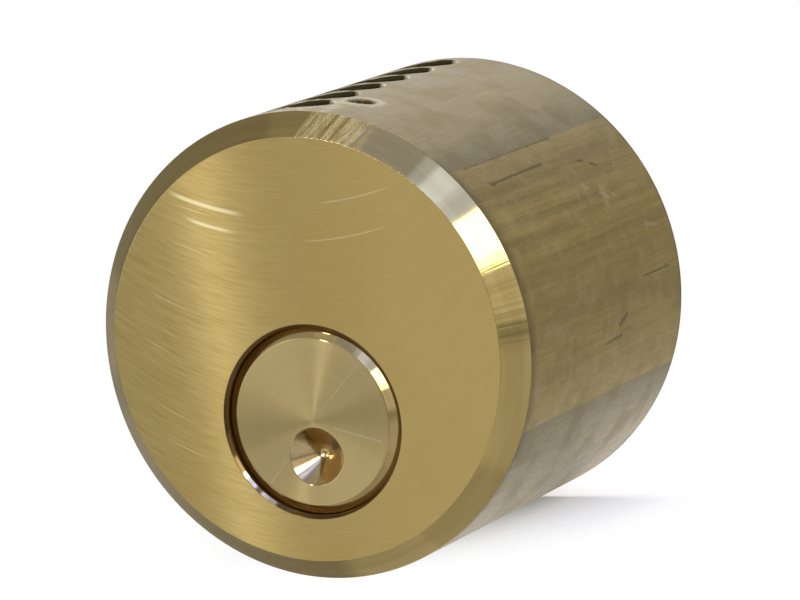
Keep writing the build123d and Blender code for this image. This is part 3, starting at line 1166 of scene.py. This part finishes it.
# %% Painted shade at the edges of the side
front_edge_shade = smooth(y, face_mm + 2.9, face_mm + 1.5) * smooth(turn, 38.0, 48.0) * 0.55
colour = blend(largest(front_edge_shade, smooth(y, -0.55, -0.15) * 0.7), colour, (0.13, 0.095, 0.045))
print("edges shaded")

# %% [markdown]
# Handling left short dark nicks and pale scuffs. Each is one scratch between two points on the side, so
# a list of points is enough.

# %% Nicks and scuffs on the side
dark_rows = [
    ((12.53, -22.3, 9.95), (12.62, -21.9, 9.83), 0.30), ((12.56, -21.9, 9.92), (12.50, -14.0, 9.99), 0.20),
    ((11.41, -23.8, 11.22), (11.41, -10.0, 11.22), 0.14), ((13.21, -7.6, 9.03), (13.38, -6.9, 8.78), 0.22),
    ((12.9, -9.2, 9.46), (13.0, -8.4, 9.32), 0.16), ((15.90, -11.2, -1.76), (15.957, -9.9, -1.17), 0.22),
    ((15.79, -13.6, -2.60), (15.80, -10.8, -2.50), 0.18), ((15.98, -6.5, 0.84), (15.98, -2.0, 0.84), 0.12),
]
pale_rows = [
    ((14.30, -8.9, 7.18), (14.52, -7.9, 6.72), 0.20), ((14.38, -7.5, 7.02), (14.62, -6.7, 6.50), 0.20),
    ((15.45, -4.2, 4.16), (15.53, -2.6, 3.85), 0.22), ((13.9, -10.6, 7.92), (14.1, -10.0, 7.56), 0.18),
]
dark_nicks = marks(dark_rows)
colour = blend(dark_nicks * 0.70, colour, (0.130, 0.085, 0.030))
colour = blend(marks(pale_rows) * 0.45, colour, (0.70, 0.57, 0.36))
print("nicks on the side:", len(dark_rows), "dark,", len(pale_rows), "pale")

# %% [markdown]
# Right of each mouth the side is painted pale, a painted highlight, and left of it dark, painted shade. Both
# follow the distance from the nearest chamber, with noise added to break the circle. By the first mouth a
# paler patch is painted in as a painted reflection.

# %% Round the chambers' mouths: painted highlight, painted shade and a painted reflection
row = use(chamber_row, First_mm=float(chamber_places[0] / mm), Pitch_mm=float(chamber_pitch / mm))
reach, across_row = row["Distance"], row["Across"]
uneven = noise(here, 1.3)
# Painted highlight: the side is paler right of each mouth.
painted_mouth_highlight = smooth(uneven * 0.5 + reach, 2.45, 2.15) * smooth(across_row, 0.35, 0.95)
along_row = maths("SQRT", largest(reach * reach - across_row * across_row, 0.0))
# Painted shade: the side is darkened left of each mouth.
painted_shade = smooth(across_row * -0.16 + uneven * 3.6 + along_row, 3.75, 2.75)
painted_shade = painted_shade * smooth(across_row, -7.5, -2.0) * smooth(across_row, 0.7, 0.1)
colour = blend(painted_mouth_highlight * 0.60, colour, (0.50, 0.40, 0.25))
colour = blend(painted_shade * 0.97, colour, (0.040, 0.031, 0.014))
# Painted reflection: a pale patch by the first mouth.
painted_reflection_patch = between(turn, -4.0, 8.0, 3.0) * smooth(y, -20.4, -22.0) * smooth(noise(here, 1.1), 0.44, 0.52)
colour = blend(painted_reflection_patch * 0.60, colour, (0.66, 0.58, 0.38))
print("chamber row:", len(row), "values")

# %% [markdown]
# The stake mark's pit is painted dark as painted shade, and its lip is painted pale as a painted highlight.
# With that the side's colour is complete. Under the painted shade round the mouths the metallic share goes
# down, so that it stays dark.

# %% The stake mark's painted shade and highlight, and the side's finish put together
stake_middle = (15.6 * math.sin(stake_turn), stake_place / mm, 15.6 * math.cos(stake_turn))
from_stake = (noise(here, 1.4) - 0.5) * 0.9 + vectors("DISTANCE", here, stake_middle)
lip = smooth(from_stake, 1.00, 1.14) * smooth(from_stake, 1.90, 1.35)
# Painted highlight: the stake mark's lip is painted pale. Painted shade: its pit is painted dark.
colour = blend(lip * 0.70, colour, (0.64, 0.58, 0.40))
colour = blend(smooth(from_stake, 1.02, 0.86), colour, (0.15, 0.070, 0.030))
# Under the painted shade the side is rougher and less metallic, so that it stays dark.
rough = range_of(streaks["Fine"], 0.22, 0.32) + stain * 0.06 + painted_mouth_highlight * 0.10 + painted_shade * 0.35
feed(shader, Base_Color=colour, Roughness=rough, Metallic=1.0 - painted_shade, Tangent=joined(0.0, 1.0, 0.0))
bumped(shader, hairs * 0.5 + streaks["Fine"] * 0.5 + dark_nicks * -1.5, 0.003)
print(side_finish.name, len(tree.nodes), "nodes")

# %% [markdown]
# ## Small metals
#
# Caps, walls, threads and steel parts are seen in spots and shadows, so they share one mottled finish with
# their own colours. In the chambers the caps and walls are painted nearly black with little metal, as
# painted shade, so that the chambers look dark.

# %% Lips, caps, chamber walls, threads and steel: mottled metals
def mottled(name, roughness, dark, light, spots_per_mm, depth_mm, metal_share=1.0):
    """A metal with a cloudy colour and a grainy bump; metal_share is its metallic share."""
    material, shader = metal(name, sum(roughness) / 2)
    cloud = use(tarnish, Clouds_per_mm=spots_per_mm, Low=0.35, High=0.65)["Mask"]
    grain = noise(place_mm(), 6.0 * spots_per_mm, 3.0, 0.6)
    colour = blend(cloud, dark, light)
    feed(shader, Metallic=metal_share, Specular_IOR_Level=0.0, Base_Color=colour, Roughness=range_of(grain, *roughness))
    bumped(shader, grain, depth_mm)
    return material, shader, colour


# The lips are pale brass, which stands in for the lit right edge of each mouth: a painted highlight.
lip_finish, shader, colour = mottled(
    "peened_brass", (0.22, 0.36), (0.54, 0.42, 0.27), (0.78, 0.66, 0.47), 0.9, 0.02
)
# Painted shade: the lips are nearly black and lose their metal, all but their right edge.
painted_shade = smooth(parted(place_mm())[0], 1.1, 0.6)
feed(shader, Base_Color=blend(painted_shade, colour, (0.026, 0.022, 0.009)), Metallic=1.0 - painted_shade)
cap_finish, wall_finish, thread_finish, ring_finish, pin_finish = (mottled(*values)[0] for values in (
    # Painted shade: the caps and the chamber walls are nearly black, with a metallic share of 0.05.
    ("punched_brass", (0.45, 0.65), (0.030, 0.022, 0.010), (0.10, 0.068, 0.028), 1.1, 0.03, 0.05),
    ("chamber_brass", (0.45, 0.65), (0.022, 0.018, 0.008), (0.065, 0.048, 0.020), 0.8, 0.02, 0.05),
    ("tapped_brass", (0.20, 0.34), (0.40, 0.29, 0.12), (0.56, 0.43, 0.21), 0.9, 0.01),
    ("blued_steel", (0.28, 0.44), (0.10, 0.10, 0.11), (0.24, 0.23, 0.24), 0.6, 0.01),
    ("ground_steel", (0.16, 0.26), (0.46, 0.46, 0.47), (0.62, 0.62, 0.62), 0.7, 0.004),
))
print("finishes:", sorted(item.name for item in bpy.data.materials if item.name.endswith(("brass", "steel"))))

# %% [markdown]
# ## Putting the pieces in the frame
#
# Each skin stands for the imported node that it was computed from, and rides with the one body of the model.
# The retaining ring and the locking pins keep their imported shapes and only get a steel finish.

# %% Build, ride and replace
body = body_skin.build("body_skin", [
    face_finish, bevel_finish, side_finish, back_finish, bore_finish, wall_finish, thread_finish, mouth_finish,
    lip_finish,
])
plug = plug_skin.build("plug_skin", [plug_finish, edge_finish, dimple_finish, bore_finish])
pieces = [(body, "cylinder_body", "body_brass"), (plug, "dummy_plug", "plug_brass")]
for name, skin in zip(cap_names, cap_skins):
    pieces.append((skin.build(f"{name}_skin", [cap_finish]), name, "cap_brass"))
for piece, node, slot in pieces:
    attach(piece, "root")
    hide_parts(node)
for name, material in (
    ("plug_retaining_ring", ring_finish), ("locking_pin_front", pin_finish), ("locking_pin_rear", pin_finish)
):
    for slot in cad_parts[name].material_slots:
        slot.material = material
print("built:", [piece.name for piece, node, slot in pieces])

# %% [markdown]
# ## Light, floor and background
#
# Metal shows its surroundings, so they are part of the picture. A white sheet stands behind the object, as
# seen from the camera, over a pale floor, and both the eye and the metal see them white. The rest of the
# studio is dimmer, with a window and two lamps high on the right. It is painted on the sky by the way that a
# polished surface must face to show it: its turn from the top, and its tilt from the front.

# %% Where on the sky a polished surface looks
world = bpy.data.worlds.new("studio")
bpy.context.scene.world = world
world.use_nodes = True
work_in(world.node_tree)
tree.nodes.clear()
look = vectors("NORMALIZE", object_place())
look_x, look_y, look_z = parted(look)
sheet = between(turn_from_top(look_x, look_y), -54.0, 9.3, 1.0)
facing_x, facing_y, facing_z = parted(vectors("NORMALIZE", vectors("ADD", look, tuple(away))))
turn_back = turn_from_top(facing_x, facing_z)
turn = maths("FLOORED_MODULO", turn_back, 360.0)
tilt = maths("ARCCOSINE", facing_y * -1.0) * (180 / math.pi)
front = smooth(tilt, 37.0, 31.0)
sides = smooth(tilt, 60.0, 70.0)
slant = 1.0 - front - sides
off_middle = smooth(tilt, 4.0, 12.0)
print("front to 37 degrees of tilt, sides from 60")


# %% [markdown]
# A lamp or a window is a stretch of turns that is brighter than the rest. There are three belts: what the
# front mirrors, what the bevel mirrors, and what the side mirrors. Each is a level with patches added.

# %% The studio's light, patch by patch
def painted(level, rows):
    """A level with patches added, each between two turns with a soft border, and with its own strength."""
    for around, low, high, soft, strength in rows:
        level = between(around, low, high, soft) * strength + level
    return level


front_level = painted(0.62, [
    (turn_back, 13.0, 17.0, 0.8, between(tilt, 19.0, 30.0, 2.0) * 12.0),
    (turn_back, -62.0, -14.0, 12.0, off_middle * 0.36), (turn, 60.0, 100.0, 10.0, off_middle * -0.26),
    (turn, 130.0, 185.0, 12.0, off_middle * 0.20), (turn, 235.0, 265.0, 10.0, off_middle * -0.34),
])
slant_level = painted(0.27, [
    (turn_back, -4.0, 6.0, 3.0, 0.08), (turn_back, 7.5, 21.5, 1.5, 0.24), (turn, 56.0, 69.8, 0.7, 3.6),
    (turn, 71.0, 82.0, 6.0, 0.50), (turn, 95.0, 116.0, 11.0, 0.30), (turn, 124.0, 172.0, 8.0, 0.19),
    (turn, 268.0, 286.0, 8.0, 0.10),
])
window_level = painted(0.0, [
    (turn_back, 22.0, 36.0, 2.0, 0.28), (turn, 38.5, 48.0, 2.0, 0.62), (turn, 50.0, 54.6, 1.0, 0.85),
    (turn, 42.5, 49.0, 1.5, 0.70), (turn, 56.0, 66.0, 1.5, 1.1),
])
side_level = (
    smooth(turn, 58.0, 84.0) * 0.15 + smooth(turn, 88.0, 100.0) * 0.05 - smooth(turn, 112.0, 122.0) * 0.12 + 0.24
)
grey = front * front_level + slant * slant_level + sides * side_level
print("world nodes:", len(tree.nodes))

# %% [markdown]
# The background has to be white to the eye, and the metal has to see the painted studio. The light path
# tells the two apart. Towards the white sheet the metal sees white as well.

# %% White for the eye and for mirrors towards the sheet, the studio for the rest
white = (1.0, 1.0, 1.0)
window_blue = (0.60, 0.82, 1.90)


def shining(colour, strength):
    """A Background shader of one colour, at a strength that may vary over the sky."""
    node = tree.nodes.new("ShaderNodeBackground")
    feed(node.inputs, Color=(*colour, 1), Strength=strength)
    return Value(node.outputs[0])


def seen_by(*kinds):
    """1 for light paths of the given kinds, such as Camera."""
    rays = named(tree.nodes.new("ShaderNodeLightPath").outputs)
    return largest(*(rays[f"Is {kind} Ray"] for kind in kinds))


room = tree.nodes.new("ShaderNodeAddShader")
put(shining(white, grey), room.inputs[0])
put(shining(window_blue, slant * window_level), room.inputs[1])
mixed = tree.nodes.new("ShaderNodeMixShader")
put(largest(seen_by("Camera"), seen_by("Glossy", "Transmission") * sheet), mixed.inputs[0])
put(Value(room.outputs[0]), mixed.inputs[1])
put(shining(white, 1.0), mixed.inputs[2])
put(Value(mixed.outputs[0]), tree.nodes.new("ShaderNodeOutputWorld").inputs["Surface"])
print("world nodes:", len(tree.nodes))

# %% [markdown]
# ## The floor
#
# The object stands on a small pale mat. It fades out at its rim, so it holds the object's shadow and leaves
# the background white. The mat shows the same to the eye and to the metal. A broad lamp straight above it
# keeps the shadow short and soft.

# %% The pale floor
floor_reach = (24 * mm, 36 * mm)
floor_middle = (-2 * mm, 9 * mm)
floor_corners = 96
angle = np.linspace(0, 2 * math.pi, floor_corners, endpoint=False)
rim = np.stack([
    floor_middle[0] + floor_reach[0] * np.cos(angle), floor_middle[1] + floor_reach[1] * np.sin(angle),
    np.full(floor_corners, -body_radius),
], axis=-1)
floor_mesh = bpy.data.meshes.new("pale_floor")
floor_mesh.from_pydata(rim.tolist(), [], [list(range(floor_corners))])
floor_paint, shader = metal("floor_white", 0.9)
x, y, z = parted(vectors("SUBTRACT", place_mm(), (floor_middle[0] / mm, floor_middle[1] / mm, 0)))
outer = vectors("LENGTH", joined(x * (mm / floor_reach[0]), y * (mm / floor_reach[1])))
feed(
    shader, Metallic=0.0, Base_Color=(0.88, 0.84, 0.77, 1), Specular_IOR_Level=0.0, Emission_Color=(1, 1, 1, 1),
    Emission_Strength=seen_by("Camera", "Glossy", "Transmission") * 0.13, Alpha=smooth(outer, 0.98, 0.25),
)
floor_mesh.materials.append(floor_paint)
floor = bpy.data.objects.new("pale_floor", floor_mesh)
bpy.context.scene.collection.objects.link(floor)
print("floor reaches", [round(reach / mm) for reach in floor_reach], "mm from its middle")

# %% [markdown]
# The sky alone gives hardly a shadow. A broad lamp gives a soft one. It is hidden from mirrors, so that no
# bright square shows in the brass.

# %% A soft lamp above
lamp_data = bpy.data.lights.new("soft_lamp", "AREA")
lamp_data.shape = "RECTANGLE"
lamp_data.size = 0.40
lamp_data.size_y = 0.40
lamp_data.energy = 3.1
lamp = bpy.data.objects.new("soft_lamp", lamp_data)
bpy.context.scene.collection.objects.link(lamp)
lamp.location = (0.0, 0.0, 0.6)
lamp.visible_glossy = False
bpy.context.scene.view_settings.view_transform = "Standard"
print("lamp", lamp_data.energy, "W")
